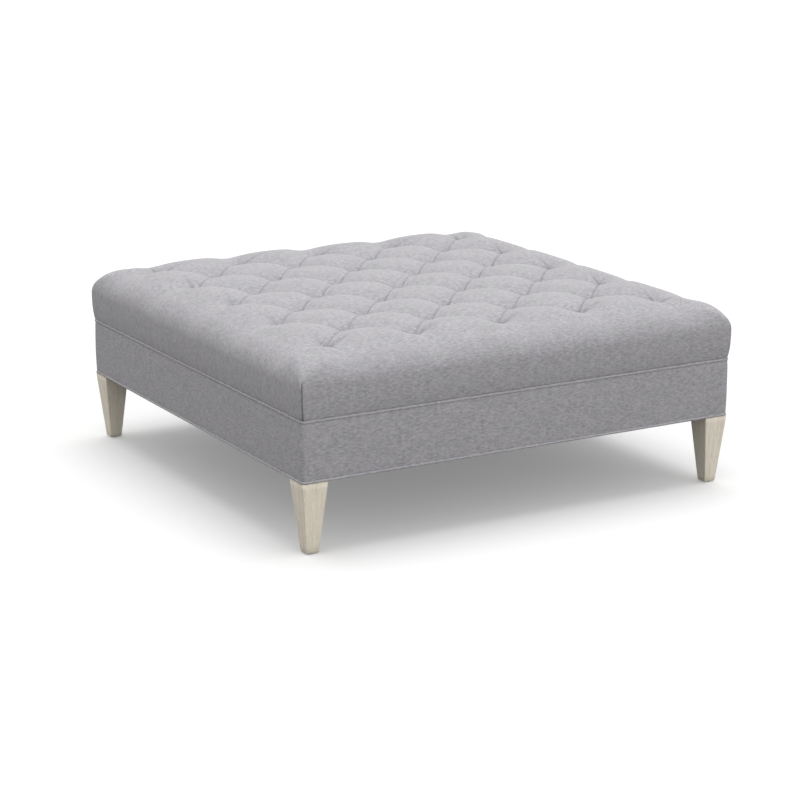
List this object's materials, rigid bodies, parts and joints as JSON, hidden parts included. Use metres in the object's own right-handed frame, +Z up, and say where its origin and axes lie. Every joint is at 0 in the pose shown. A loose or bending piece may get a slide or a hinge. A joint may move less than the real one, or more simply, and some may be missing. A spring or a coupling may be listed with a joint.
{
  "type": "ottoman coffee table",
  "caption": "Square upholstered coffee-table ottoman with a deep-tufted top, welted apron and tapered wooden legs.",
  "frame": {"origin": "on the floor, under the middle of the square plan", "axes": "+Z up; the front faces -Y and +X is to the right seen from the front; the four sides are alike"},
  "size_m": [1.0762, 1.0762, 0.425],
  "materials": {
    "upholstery": "heathered grey linen-look upholstery weave",
    "leg_wood": "bleached and limed hardwood with a matt seal",
    "frame_wood": "bare planed softwood",
    "deck_plywood": "bare plywood",
    "foam": "open-cell polyurethane foam",
    "padding": "white polyester batting",
    "cotton": "natural twisted cotton",
    "cambric": "black non-woven dust cloth",
    "washer_board": "pressed brown fibreboard",
    "zinc_steel": "bright zinc plate",
    "glide_nylon": "moulded nylon"
  },
  "bodies": {
    "root": {"front_rail": "frame_wood", "rear_rail": "frame_wood", "left_rail": "frame_wood", "right_rail": "frame_wood", "corner_block_front_left": "frame_wood", "corner_block_front_right": "frame_wood", "corner_block_rear_left": "frame_wood", "corner_block_rear_right": "frame_wood", "left_stretcher": "frame_wood", "right_stretcher": "frame_wood", "deck_board": "deck_plywood", "leg_front_left": "leg_wood", "leg_front_right": "leg_wood", "leg_rear_left": "leg_wood", "leg_rear_right": "leg_wood", "foot_glides": "glide_nylon", "hanger_bolts": "zinc_steel", "leg_nuts": "zinc_steel", "apron_padding": "padding", "apron_cover": "upholstery", "upper_welt": "upholstery", "upper_welt_cord": "cotton", "lower_welt": "upholstery", "lower_welt_cord": "cotton", "dust_cover": "cambric", "seat_foam": "foam", "batting": "padding", "tufted_cover": "upholstery", "tuft_ties": "cotton", "tuft_washers": "washer_board"}
  },
  "joints": []
}
